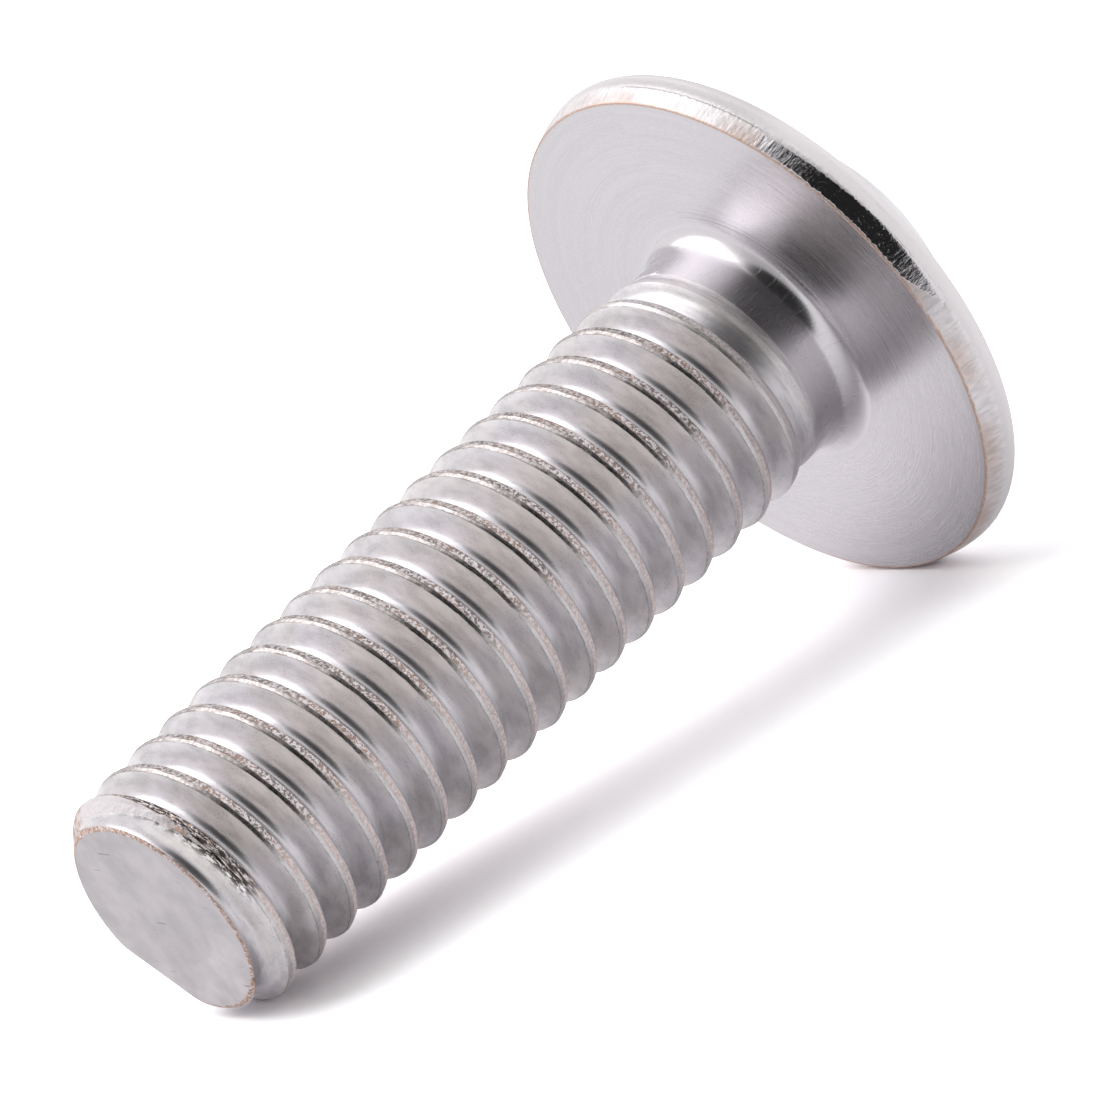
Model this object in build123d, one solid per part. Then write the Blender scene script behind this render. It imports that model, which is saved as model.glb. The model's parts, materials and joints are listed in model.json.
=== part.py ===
from build123d import *
import math
import os

# A flanged button head screw, M6 x 20, with a rolled right-hand thread.
# It is modelled on its own axis first: z = 0 is the bearing face under the head,
# +z runs to the tip and -z to the top of the head. It is then laid down as it
# rests on a flat floor, on the flange's edge and on the last full thread crest.
# All sizes are in millimetres and degrees.

# Thread
pitch = 1.0
crest_diameter = 5.83
crest_flat = 0.170 * pitch
root_flat = 0.167 * pitch
flank_angle = 30.0
thread_phase = 0.06        # z of a crest's middle on the side that faces the floor

# Shank
length = 19.93             # bearing face to tip
crest_rise = 0.19          # how far the rolled crest stands out from the neck
neck_length = 1.35         # plain neck, up to where the thread rises out of it
crest_runout = 0.85        # over which the crest grows to its full height
root_runout = 1.10         # over which the groove grows to its full depth
head_fillet = 0.52
tip_chamfer = 0.50         # along the axis
tip_chamfer_depth = 0.465  # in from the crest
tip_flat_depth = 0.24      # a flat on one side of the end face's edge
tip_flat_side = -43.0      # round the axis, from the side that faces the floor

# Head
flange_diameter = 13.15
bearing_diameter = 12.80   # the flange is a little smaller at its bearing face
flange_thickness = 1.05
flange_edge_round = 0.36
flange_rise = 0.16         # how much thicker the flange is where the dome starts
dome_diameter = 9.90
head_height = 3.25
head_top_diameter = 5.70

# Hexagon socket
socket_width = 4.02        # across flats
socket_depth = 2.20
socket_mouth_chamfer = 0.14
socket_point_angle = 60.0  # half the angle of the drill point under the hexagon
socket_turn = 12.0

# The most that one bevel of a small round turns
bevel_angle = 35.0

# How far a cutting or joining body runs past the surface that it meets
overlap = 0.08

# Radii that follow from the sizes above
crest_r = crest_diameter / 2
flank_length = (pitch - crest_flat - root_flat) / 2
root_r = crest_r - flank_length / math.tan(math.radians(flank_angle))
neck_r = crest_r - crest_rise
tip_r = crest_r - tip_chamfer_depth


def turned(section):
    """The solid that a section, drawn with x as the radius and y along the axis, turns into."""
    return revolve(Plane.XZ * section, Axis.Z)


def tangent_point(start, centre, radius):
    """Where a line from start meets a circle, on the side of it that lies further from the axis."""
    towards_start = math.atan2(start[1] - centre[1], start[0] - centre[0])
    swing = math.acos(radius / math.dist(start, centre))
    angles = (towards_start - swing, towards_start + swing)
    return max((centre[0] + radius * math.cos(a), centre[1] + radius * math.sin(a)) for a in angles)


def flange_round_centre():
    """The centre, as radius and z, of the round on the flange's upper edge."""
    return flange_diameter / 2 - flange_edge_round, flange_edge_round - flange_thickness


def round_points(centre, radius, start_angle, end_angle):
    """Points along a small round, turned as a few bevels."""
    steps = math.ceil(abs(end_angle - start_angle) / bevel_angle)
    angles = [start_angle + (end_angle - start_angle) * i / steps for i in range(steps + 1)]
    return [
        (centre[0] + radius * math.cos(math.radians(a)), centre[1] + radius * math.sin(math.radians(a)))
        for a in angles
    ]


def flange_rim():
    """The flange's edge: a slightly tapered band from the bearing face, then the round."""
    bearing_edge = (bearing_diameter / 2, 0)
    centre = flange_round_centre()
    band_end = tangent_point(bearing_edge, centre, flange_edge_round)
    start_angle = math.degrees(math.atan2(band_end[1] - centre[1], band_end[0] - centre[0]))
    return [bearing_edge, *round_points(centre, flange_edge_round, start_angle, -90)]


def dome():
    """The button's dome, part of a sphere centred on the axis, from its foot to its flat top."""
    foot_r, top_r = dome_diameter / 2, head_top_diameter / 2
    foot_z, top_z = -flange_thickness - flange_rise, -head_height
    centre_z = (foot_r**2 - top_r**2 + foot_z**2 - top_z**2) / (2 * (foot_z - top_z))
    sphere_r = math.hypot(foot_r, foot_z - centre_z)
    middle_r = (foot_r + top_r) / 2
    middle_z = centre_z - math.sqrt(sphere_r**2 - middle_r**2)
    return ThreePointArc((foot_r, foot_z), (middle_r, middle_z), (top_r, top_z))


def body():
    """The head, the fillet under it, the neck, and the cone that the thread's root runs out on."""
    cone_slope = (neck_r - root_r) / root_runout
    cone_end_z = neck_length + root_runout + overlap / cone_slope
    fillet_centre = (neck_r + head_fillet, head_fillet)
    under_head = round_points(fillet_centre, head_fillet, 180, 270)
    sphere = dome()
    outline = (
        Line((0, -head_height), (0, cone_end_z)),
        Polyline((0, cone_end_z), (root_r - overlap, cone_end_z), (neck_r, neck_length), under_head[0]),
        Polyline(*under_head, *flange_rim(), sphere @ 0),
        sphere,
        Line(sphere @ 1, (0, -head_height)),
    )
    return turned(make_face(outline))


def thread_section():
    """One pitch of the thread's outline, as radius and z: crest, flank, root and flank."""
    crest_start, crest_end = -crest_flat / 2, crest_flat / 2
    return (
        (crest_r, crest_start),
        (crest_r, crest_end),
        (root_r, crest_end + flank_length),
        (root_r, crest_end + flank_length + root_flat),
        (crest_r, crest_start + pitch),
    )


def threaded_rod(start_z, turns):
    """A rod of whole thread turns, closed at each end by a helical ramp and its step."""
    section = thread_section()

    def helix(radius, z):
        return Pos(0, 0, z) * Edge.make_helix(pitch, pitch, radius)

    faces = []
    for turn in range(turns):
        edges = [helix(r, start_z + turn * pitch + z) for r, z in section]
        faces += [Face.make_surface_from_curves(a, b) for a, b in zip(edges, edges[1:])]
    for end_z in (start_z, start_z + turns * pitch):
        ramp_z = end_z + section[0][1]
        axis_step = Edge.make_line((0, 0, ramp_z), (0, 0, ramp_z + pitch))
        faces.append(Face.make_surface_from_curves(helix(crest_r, ramp_z), axis_step))
        step = [Vector(r, 0, end_z + z) for r, z in section]
        corners = [Vector(0, 0, ramp_z), *step, Vector(0, 0, ramp_z + pitch)]
        faces.append(Face(Wire.make_polygon(corners, close=True)))
    return Solid(Shell(faces))


def thread_limits():
    """What the thread is trimmed to: a cone at the neck, room for full crests, and the tip."""
    clear_r = crest_r + overlap
    crest_slope = crest_rise / crest_runout
    chamfer_slope = tip_chamfer_depth / tip_chamfer
    outline = Polyline(
        (0, neck_length - overlap),
        (neck_r, neck_length - overlap),
        (neck_r, neck_length),
        (clear_r, neck_length + (clear_r - neck_r) / crest_slope),
        (clear_r, length - (clear_r - tip_r) / chamfer_slope),
        (tip_r, length),
        (0, length),
        close=True,
    )
    return turned(make_face(outline))


def thread():
    """The right-hand thread, faded in at the neck and chamfered at the tip."""
    start_z = thread_phase - pitch * math.ceil((thread_phase - neck_length) / pitch + 2)
    turns = math.ceil((length - start_z) / pitch) + 1
    return threaded_rod(start_z, turns) & thread_limits()


def socket():
    """The hexagon socket with its chamfered mouth and the drill point under it."""
    flat_r = socket_width / 2
    corner_r = flat_r / math.cos(math.radians(30))
    mouth_r = corner_r + socket_mouth_chamfer + overlap
    floor_z = socket_depth - head_height
    towards_tip = (Align.CENTER, Align.CENTER, Align.MIN)
    hexagon = RegularPolygon(flat_r, 6, major_radius=False, rotation=socket_turn)
    recess = extrude(Pos(0, 0, floor_z) * hexagon, -socket_depth - overlap)
    point = Cone(flat_r, 0, flat_r / math.tan(math.radians(socket_point_angle)), align=towards_tip)
    mouth = Cone(mouth_r, flat_r, mouth_r - flat_r, align=towards_tip)
    return recess + Pos(0, 0, floor_z) * point + Pos(0, 0, -head_height - overlap) * mouth


def tip_flat():
    """The block that takes the flat off one side of the end face's edge."""
    lean = math.degrees(math.atan2(tip_chamfer_depth, tip_chamfer))
    seat_r = tip_r - tip_flat_depth
    block = Box(*[crest_diameter] * 3, align=(Align.MIN, Align.CENTER, Align.CENTER))
    return Rot(0, 0, tip_flat_side) * Pos(seat_r, 0, length) * Rot(0, -lean, 0) * block


def resting_tilt():
    """The angle between the screw's axis and the floor when it lies on its flange and thread."""
    full_thread_end = length - tip_chamfer - crest_flat / 2
    last_crest_z = thread_phase + pitch * math.floor((full_thread_end - thread_phase) / pitch)
    crest = (crest_r, last_crest_z + crest_flat / 2)
    rim = tangent_point(crest, flange_round_centre(), flange_edge_round)
    return math.degrees(math.atan2(rim[0] - crest[0], crest[1] - rim[1]))


def screw():
    upright = body() + thread() - socket() - tip_flat()
    return Rot(0, 90 + resting_tilt(), 0) * upright


os.makedirs("parts", exist_ok=True)
export_step(screw(), "parts/screw.step")
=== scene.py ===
"""A flanged button head screw with a rolled thread, in bare steel, on a white table."""

import json
import math

import bpy
from bpy.props import FloatProperty, FloatVectorProperty, PointerProperty
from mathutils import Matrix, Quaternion, Vector, noise


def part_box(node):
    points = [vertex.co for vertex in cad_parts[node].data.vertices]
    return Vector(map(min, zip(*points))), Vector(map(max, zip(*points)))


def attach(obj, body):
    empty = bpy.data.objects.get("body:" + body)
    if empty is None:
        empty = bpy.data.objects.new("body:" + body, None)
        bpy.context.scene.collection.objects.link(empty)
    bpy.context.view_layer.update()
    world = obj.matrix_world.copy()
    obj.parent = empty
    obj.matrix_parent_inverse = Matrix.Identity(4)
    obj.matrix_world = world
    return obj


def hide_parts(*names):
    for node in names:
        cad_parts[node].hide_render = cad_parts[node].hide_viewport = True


bl_info = {
    "name": "Flanged button head screw",
    "version": (1, 0, 0),
    "blender": (4, 5, 0),
    "location": "3D View > Sidebar > Screw",
    "description": "Builds a rolled and turned steel screw and the white table it lies on",
    "category": "Add Mesh",
}

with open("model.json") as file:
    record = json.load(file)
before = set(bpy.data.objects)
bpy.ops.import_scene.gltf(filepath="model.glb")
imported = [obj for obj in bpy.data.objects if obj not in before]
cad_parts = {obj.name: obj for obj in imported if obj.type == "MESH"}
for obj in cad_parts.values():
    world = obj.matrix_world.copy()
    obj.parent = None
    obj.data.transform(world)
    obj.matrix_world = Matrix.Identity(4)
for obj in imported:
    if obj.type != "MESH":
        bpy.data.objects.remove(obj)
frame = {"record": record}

MM = 0.001
TURN = 2 * math.pi


def record_mount(name):
    """One of the screw's mounts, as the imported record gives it."""
    return next(m for m in frame["record"]["mounts"] if m["name"] == name)


BEARING_FACE = record_mount("bearing_face")
AXIS = Vector(BEARING_FACE["axis"])
LAID_DOWN = Quaternion((0.0, 1.0, 0.0), math.pi / 2 + math.atan2(-AXIS.z, AXIS.x))
FLOOR_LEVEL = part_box("screw")[0].z


# ---------------------------------------------------------------- sizes and colours


def size(name, millimetres, description):
    """A length that a user can change, shown in the scene's units."""
    return FloatProperty(
        name=name,
        description=description,
        default=millimetres * MM,
        min=0.0,
        unit="LENGTH",
        precision=5,
    )


def angle(name, degrees, description):
    """An angle that a user can change."""
    return FloatProperty(
        name=name, description=description, default=math.radians(degrees), subtype="ANGLE"
    )


def share(name, value, description):
    """A plain share from none to all."""
    return FloatProperty(
        name=name, description=description, default=value, min=0.0, max=1.0, subtype="FACTOR"
    )


def number(name, value, description):
    """A plain number."""
    return FloatProperty(name=name, description=description, default=value, min=0.0)


def colour(name, value, description):
    """A colour that a user can change."""
    return FloatVectorProperty(
        name=name, description=description, default=value, size=3, min=0.0, max=1.0, subtype="COLOR"
    )


class ThreadSizes(bpy.types.PropertyGroup):
    pitch: size("Pitch", 1.0, "From one crest to the next")
    crest_diameter: size("Crest diameter", 5.83, "Across the crests")
    root_diameter: size("Root diameter", 4.682, "Across the roots")
    start: size("Start", 0.03, "From the bearing face to a crest's middle, on the floor side")
    lip_width: size("Lip width", 0.094, "Smooth half of the crest, towards the tip")
    lip_drop: size("Lip drop", 0.022, "How far the lip falls towards the tip")
    rough_width: size("Rough width", 0.18, "Rough half of the crest, towards the head")
    rough_drop: size("Rough drop", 0.05, "How far the rough half falls towards the head")
    root_round: size("Root round", 0.24, "Radius of the hollow root")
    crest_seam: size("Crest seam", 0.012, "Depth of the seam that rolling leaves along the crest")
    crest_wear: size("Crest unevenness", 0.007, "How far the rolled crest stands out or in")


class ShankSizes(bpy.types.PropertyGroup):
    length: size("Length", 19.93, "Bearing face to tip")
    crest_rise: size("Crest rise", 0.19, "How far the crest stands out from the neck")
    neck_length: size("Neck length", 1.35, "Plain neck up to where the thread rises")
    crest_runout: size("Crest run-out", 0.85, "Over which the crest grows")
    root_runout: size("Root run-out", 1.10, "Over which the groove grows")
    head_fillet: size("Head fillet", 0.52, "Round between neck and bearing face")
    tip_chamfer: size("Tip chamfer", 0.50, "Along the axis")
    tip_chamfer_depth: size("Tip chamfer depth", 0.465, "In from the crest")
    tip_edge_round: size("Tip edge round", 0.06, "Round of the end face's edge")
    tip_dish: size("Tip dish", 0.05, "Depth of the hollow in the end face")
    tip_flat_depth: size("Tip flat depth", 0.24, "Flat on one side of the end face")
    tip_flat_side: angle("Tip flat side", -43.0, "Round the axis, from the floor side")
    rolled_softness: size("Rolled softness", 0.06, "Over which thread and run-outs blend")
    tip_softness: size("Tip softness", 0.10, "Over which the tip's flat and chamfer blend")
    torn_depth: size("Torn seam depth", 0.09, "Of the seam that opened on the last crest")
    torn_from: angle("Torn seam start", 94.0, "Round the axis, from the floor side")
    torn_to: angle("Torn seam end", 172.0, "Round the axis, from the floor side")


class HeadSizes(bpy.types.PropertyGroup):
    flange_diameter: size("Flange diameter", 13.134, "At the widest")
    bearing_diameter: size("Bearing diameter", 12.80, "At the bearing face")
    bearing_edge_round: size("Bearing edge round", 0.05, "Round of the bearing face's edge")
    flange_thickness: size("Flange thickness", 1.05, "At the edge")
    flange_edge_round: size("Flange edge round", 0.36, "Round of the upper edge")
    band_height: size("Band height", 0.42, "Sheared band next to the bearing face")
    band_radius: size("Band radius", 6.529, "Where the sheared band meets the shoulder")
    flange_rise: size("Flange rise", 0.16, "How much thicker the flange is at the dome")
    dome_diameter: size("Dome diameter", 9.90, "Where the dome starts")
    dome_foot_round: size("Dome foot round", 0.35, "Hollow round between flange and dome")
    head_height: size("Head height", 3.25, "Bearing face to the head's top")
    head_top_diameter: size("Head top diameter", 5.70, "Flat on the dome")
    head_top_round: size("Head top round", 0.15, "Round of that flat's edge")
    socket_width: size("Socket width", 4.02, "Hexagon across flats")
    socket_depth: size("Socket depth", 2.20, "Down to where the hexagon ends")
    socket_mouth_chamfer: size("Socket mouth chamfer", 0.14, "Past the hexagon's corners")
    socket_point_angle: angle("Socket point angle", 60.0, "Half the angle of the drill point")
    socket_turn: angle("Socket turn", 12.0, "Of the hexagon round the axis")


class FinishValues(bpy.types.PropertyGroup):
    steel: colour("Steel", (0.70, 0.672, 0.70), "Bare steel")
    bearing: colour("Bearing face steel", (0.69, 0.662, 0.69), "Steel of the turned bearing face")
    flank: colour("Flank steel", (0.82, 0.793, 0.822), "Satin steel of the thread's flanks")
    warm: colour("Warm steel", (0.81, 0.768, 0.745), "Slightly warmer patches on the flanks")
    crest: colour("Crest steel", (0.87, 0.83, 0.845), "Paler, rougher steel of crests and cut edges")
    shoulder: colour("Shoulder steel", (0.87, 0.83, 0.845), "Pale shoulder of the flange")
    # Calm crest colour towards the floor, where it mostly takes the place of the crests' painted
    # glints
    satin: colour("Satin crest", (0.85, 0.76, 0.745), "Evenly rubbed crests, towards the floor")
    lip: colour("Lip steel", (0.43, 0.375, 0.36), "Smooth lip of the crests")
    worn: colour("Worn crest", (0.31, 0.27, 0.26), "Between the specks of the crests")
    end: colour("End face steel", (0.615, 0.58, 0.60), "Duller steel of the cut end")
    copper: colour("Copper tint", (0.62, 0.44, 0.36), "Trace of copper wire coating left on edges")
    # Also used for painted shade: in the torn seam's gaps and along the crests' folds
    dark: colour("Dark marks", (0.075, 0.058, 0.055), "Marks left by rolling and cutting")
    turned_roughness: share("Turned roughness", 0.27, "Roughness of the turned faces")
    neck_roughness: share("Neck roughness", 0.20, "Roughness of the burnished neck")
    rolled_roughness: share("Rolled roughness", 0.54, "Roughness of the rolled flanks")
    lip_roughness: share("Lip roughness", 0.28, "Roughness of the smooth lip on the crests")
    root_roughness: share("Root roughness", 0.34, "Roughness of the burnished roots")
    crest_roughness: share("Crest roughness", 0.76, "Roughness of the crests")
    torn_roughness: share("Torn seam roughness", 0.3, "Roughness inside the torn seam")
    band_roughness: share("Burnished roughness", 0.12, "Roughness of the patch on the flange's edge")
    shoulder_roughness: share("Shoulder roughness", 0.52, "Roughness of the flange's shoulder")
    dome_roughness: share("Dome roughness", 0.24, "Roughness of the dome where it is smoothest")
    end_roughness: share("End face roughness", 0.45, "Roughness of the cut end")


class StudioValues(bpy.types.PropertyGroup):
    table: colour("Table", (0.85, 0.85, 0.86), "Table colour")
    table_front: size("Table front", 40.0, "From the screw to the table's front edge, along +Y")
    table_gain: number("Table gain", 2.95, "How much paler the camera sees the table")
    mirrored_gain: number("Mirrored gain", 1.47, "How much paler the steel mirrors the table")
    contact_reach: size("Contact reach", 2.5, "How near a surface darkens the table under it")
    contact_strength: share("Contact strength", 0.3, "How strongly it darkens the table")
    surround: share("Surround", 0.55, "Light from the white surroundings")
    softbox_width: size("Softbox width", 650.0, "Width of the overhead softbox")
    softbox_distance: size("Softbox distance", 600.0, "From the screw")
    softbox_azimuth: angle("Softbox azimuth", -60.0, "From +X towards +Y")
    softbox_elevation: angle("Softbox elevation", 56.0, "Above the table")
    softbox_power: number("Softbox power", 2.0, "In watts")
    dark_azimuth: angle("Dark side azimuth", 62.0, "Middle of the room's dark side, from +X")
    dark_elevation: angle("Dark side elevation", 25.0, "Middle of the room's dark side")
    dark_spread: angle("Dark side spread", 42.0, "From its middle to its edge")
    dark_softness: angle("Dark side softness", 9.0, "Width of its soft edge")
    dark_depth: share("Dark side depth", 0.98, "How much light it takes away")
    dim_azimuth: angle("Dim side azimuth", 18.0, "Middle of the dimmer wall beside the dark side")
    dim_elevation: angle("Dim side elevation", 10.0, "Middle of the dimmer wall")
    dim_spread: angle("Dim side spread", 30.0, "From its middle to its edge")
    dim_softness: angle("Dim side softness", 26.0, "Width of its soft edge")
    dim_depth: share("Dim side depth", 0.5, "How much light it takes away")
    camera_azimuth: angle("Camera azimuth", 146.544, "0 looks along +Y")
    camera_elevation: angle("Camera elevation", 15.99, "Above the table")
    camera_roll: angle("Camera roll", 22.89, "Of the camera about its own axis")
    camera_distance: size("Camera distance", 210.64, "To the point it looks at")
    lens: FloatProperty(name="Lens", description="Focal length in mm", default=316.3, min=1.0)


SETTINGS = {
    "screw_thread": ThreadSizes,
    "screw_shank": ShankSizes,
    "screw_head": HeadSizes,
    "screw_finish": FinishValues,
    "screw_studio": StudioValues,
}


# ---------------------------------------------------------------- surface building

STATIONS = 180


class Skin:
    """A closed surface built of rings about the axis, in the screw's own frame.

    Local z = 0 is the bearing face and +z runs to the tip; local +x faces the floor.
    """

    def __init__(self):
        self.points = []
        self.faces = []
        self.finishes = []

    def point(self, radius, around, along):
        self.points.append((radius * math.cos(around), radius * math.sin(around), along))
        return len(self.points) - 1

    def ring(self, radius_at, along_at):
        """A closed ring; radius and place along the axis may change round it."""
        stations = [TURN * i / STATIONS for i in range(STATIONS)]
        return [self.point(radius_at(a), a, along_at(a)) for a in stations]

    def grow(self, ring, radius_at, along_at, finish):
        """Joins a ring to a new one; gives the new one."""
        next_ring = self.ring(radius_at, along_at)
        self.join(ring, next_ring, finish)
        return next_ring

    def circle(self, radius, along):
        return self.ring(lambda a: radius, lambda a: along)

    def face(self, corners, finish):
        distinct = list(dict.fromkeys(corners))
        if len(distinct) > 2:
            self.faces.append(distinct)
            self.finishes.append(finish)

    def join(self, ring, next_ring, finish):
        """Joins two rings, in one finish or in one for each station."""
        finishes = [finish] * STATIONS if isinstance(finish, str) else finish
        for i in range(STATIONS):
            j = (i + 1) % STATIONS
            self.face((ring[i], ring[j], next_ring[j], next_ring[i]), finishes[i])

    def run(self, ring, outline, finish):
        """Joins a ring to circles through the outline's (radius, along) points; gives the last."""
        for radius, along in outline:
            ring = self.grow(ring, lambda a: radius, lambda a: along, finish)
        return ring

    def close(self, ring, along, finish, outward):
        """Closes a ring with a fan to a point on the axis."""
        centre = self.point(0.0, 0.0, along)
        for i in range(STATIONS):
            j = (i + 1) % STATIONS
            corners = (ring[i], ring[j], centre) if outward else (ring[j], ring[i], centre)
            self.face(corners, finish)


def arc(centre, radius, start, end, steps):
    """Points along an arc of the outline, as (radius, along), from one angle to another."""
    angles = [start + (end - start) * i / steps for i in range(steps + 1)]
    return [(centre[0] + radius * math.cos(a), centre[1] + radius * math.sin(a)) for a in angles]


def straight(start, end, steps):
    """Points along a straight stretch of the outline, without its start."""
    return [
        (start[0] + (end[0] - start[0]) * i / steps, start[1] + (end[1] - start[1]) * i / steps)
        for i in range(1, steps + 1)
    ]


def rounded(before, corner, after, radius, steps):
    """A corner of the outline with its round, as points from one tangent point to the other."""
    corner = Vector(corner)
    back = (Vector(before) - corner).normalized()
    ahead = (Vector(after) - corner).normalized()
    half_angle = back.angle(ahead) / 2
    centre = corner + (back + ahead).normalized() * radius / math.sin(half_angle)
    reach = radius / math.tan(half_angle)
    first = corner + back * reach - centre
    last = corner + ahead * reach - centre
    swing = first.angle_signed(last)
    points = []
    for i in range(steps + 1):
        turn = -swing * i / steps
        x = first.x * math.cos(turn) - first.y * math.sin(turn)
        y = first.x * math.sin(turn) + first.y * math.cos(turn)
        points.append((centre.x + x, centre.y + y))
    return points


# ---------------------------------------------------------------- thread


def touching(point, centre, radius, side):
    """The angle at which a line from a point touches a circle, on one side of it."""
    across, up = point[0] - centre[0], point[1] - centre[1]
    return math.atan2(up, across) + side * math.acos(radius / math.hypot(across, up))


def soft_min(a, b, softness):
    """The smaller of two lengths, blended where they are nearly equal."""
    overlap = max(softness - abs(a - b), 0.0)
    return min(a, b) - overlap * overlap / (4 * softness)


# How far below the crest its unevenness reaches
WORN_DEPTH = 0.12 * MM
# Half the width of the torn seam, and over what angle it opens at each of its ends
SEAM_HALF_WIDTH = 0.16 * MM
TORN_FADE = math.radians(12)


class Thread:
    """Where the thread's surface lies, from the thread's and the shank's sizes."""

    def __init__(self, thread, shank):
        self.sizes = thread
        self.shank = shank
        self.pitch = thread.pitch
        self.crest_r = thread.crest_diameter / 2
        self.root_r = thread.root_diameter / 2
        self.neck_r = self.crest_r - shank.crest_rise
        self.tip_r = self.crest_r - shank.tip_chamfer_depth
        self.outline = self.pitch_outline()

    def pitch_outline(self):
        """One pitch of the outline, from a crest's middle to the next, as (along, radius)."""
        thread = self.sizes
        lip, drop = thread.lip_width, thread.lip_drop
        tip_side = [
            (0.0, self.crest_r),
            (lip / 2, self.crest_r - drop / 2),
            (lip, self.crest_r - drop),
            (lip * 1.15, self.crest_r - drop * 1.8),
        ]
        rough, fall = thread.rough_width, thread.rough_drop
        head_side = [
            (rough * 0.08, self.crest_r - thread.crest_seam),
            (rough * 0.3, self.crest_r - thread.crest_seam - fall * 0.12),
            (rough * 0.55, self.crest_r - thread.crest_seam - fall * 0.36),
            (rough * 0.8, self.crest_r - thread.crest_seam - fall * 0.67),
            (rough, self.crest_r - thread.crest_seam - fall),
        ]
        hollow = (self.pitch / 2, self.root_r + thread.root_round)
        head_end = (self.pitch - head_side[-1][0], head_side[-1][1])
        start = touching(tip_side[-1], hollow, thread.root_round, 1)
        end = touching(head_end, hollow, thread.root_round, -1) + TURN
        root = arc(hollow, thread.root_round, start, end, 9)
        down = [*tip_side, *straight(tip_side[-1], root[0], 4)[1:-1], *root]
        up = straight(root[-1], head_end, 2)[1:-1]
        up += [(self.pitch - along, radius) for along, radius in reversed(head_side)]
        return down + up

    def rolled_radius(self, around, along):
        """Radius of the endless thread's surface at a place."""
        turns = (along - self.sizes.start) / self.pitch - around / TURN
        offset = (turns - math.floor(turns)) * self.pitch
        closed = [*self.outline, (self.pitch, self.outline[0][1])]
        for (a, radius_a), (b, radius_b) in zip(closed, closed[1:]):
            if offset <= b:
                return radius_a + (radius_b - radius_a) * (offset - a) / (b - a)
        return closed[-1][1]

    def chamfer(self, around, along):
        """Radius that the tip's chamfer and its flat leave at a place."""
        shank = self.shank
        slope = shank.tip_chamfer_depth / shank.tip_chamfer
        grown = (shank.length - along) * slope
        radius = self.tip_r + grown
        facing = math.cos(around - shank.tip_flat_side)
        # Elsewhere the flat lies far outside the chamfer
        if facing > 0.2:
            flat = (self.tip_r - shank.tip_flat_depth + grown) / facing
            radius = soft_min(radius, flat, shank.tip_softness)
        return radius

    def limit(self, radius, around, along):
        """A radius kept between the run-out core and the envelope of neck, crest and tip."""
        shank = self.shank
        past_neck = max(along - shank.neck_length, 0.0)
        if past_neck < 2 * shank.root_runout:
            core = self.neck_r - past_neck * (self.neck_r - self.root_r) / shank.root_runout
            envelope = self.neck_r + past_neck * shank.crest_rise / shank.crest_runout
            radius = -soft_min(-radius, -core, shank.rolled_softness)
            radius = soft_min(radius, envelope, shank.rolled_softness)
        return min(radius, self.chamfer(around, along))

    def torn(self, around, along):
        """How far the last crest's seam opened at a place, from none to all."""
        shank = self.shank
        if along < shank.length - 1.2 * self.pitch:
            return 0.0
        past_start = (around - shank.torn_from) / TORN_FADE
        before_end = (shank.torn_to - around) / TORN_FADE
        return min(1.0, max(0.0, min(past_start, before_end)))

    def wear(self, radius, around, along):
        """How far the rough crest stands out or in at a place."""
        crest = max(0.0, 1 - (self.crest_r - radius) / WORN_DEPTH)
        grown = min(1.0, max(0.0, (along - self.shank.neck_length) / self.pitch - 0.3))
        place = Vector((radius * math.cos(around), radius * math.sin(around), along)) / MM
        stretched = Vector((place.x * 2.2, place.y * 2.2, place.z * 6.0))
        return self.sizes.crest_wear * crest * grown * noise.fractal(stretched, 0.8, 2.1, 3)

    def opened(self, around, along):
        """How far the torn seam goes in at a place on the last crest."""
        torn = self.torn(around, along)
        if not torn:
            return 0.0
        turns = (along - self.sizes.start) / self.pitch - around / TURN
        off_crest = abs(turns - round(turns)) * self.pitch
        near = max(0.0, 1 - off_crest / SEAM_HALF_WIDTH)
        place = Vector((self.crest_r * around * 4, along * 9, 0.0)) / MM
        return self.shank.torn_depth * torn * near * (0.6 + noise.noise(place))

    def worn_radius(self, around, along, rolled):
        """The surface's radius at a place, from that of the endless thread there."""
        radius = self.limit(rolled, around, along)
        return radius + self.wear(radius, around, along) - self.opened(around, along)


def thread_rows(skin, thread, low_ring, low_z, high_z):
    """The thread between two rings, in rows that follow the helix; gives the upper ring."""
    high_ring = skin.ring(
        lambda a: thread.worn_radius(a, high_z, thread.rolled_radius(a, high_z)), lambda a: high_z
    )
    rows_per_pitch = len(thread.outline)
    known = {}
    # Points nearer than this to an end ring become the ring's own
    slack = 0.004 * MM

    def corner(row, station):
        if station == STATIONS:
            row, station = row + rows_per_pitch, 0
        if (row, station) not in known:
            turn, place = divmod(row, rows_per_pitch)
            offset, radius = thread.outline[place]
            around = TURN * station / STATIONS
            along = thread.sizes.start + thread.pitch * (turn + around / TURN) + offset
            if along < low_z + slack:
                known[row, station] = low_ring[station]
            elif along > high_z - slack:
                known[row, station] = high_ring[station]
            else:
                worn = thread.worn_radius(around, along, radius)
                known[row, station] = skin.point(worn, around, along)
        return known[row, station]

    first_turn = math.floor((low_z - thread.sizes.start) / thread.pitch) - 2
    last_turn = math.ceil((high_z - thread.sizes.start) / thread.pitch) + 1
    for row in range(first_turn * rows_per_pitch, last_turn * rows_per_pitch):
        for station in range(STATIONS):
            corners = (
                corner(row, station),
                corner(row, station + 1),
                corner(row + 1, station + 1),
                corner(row + 1, station),
            )
            skin.face(corners, "thread")
    return high_ring


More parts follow.
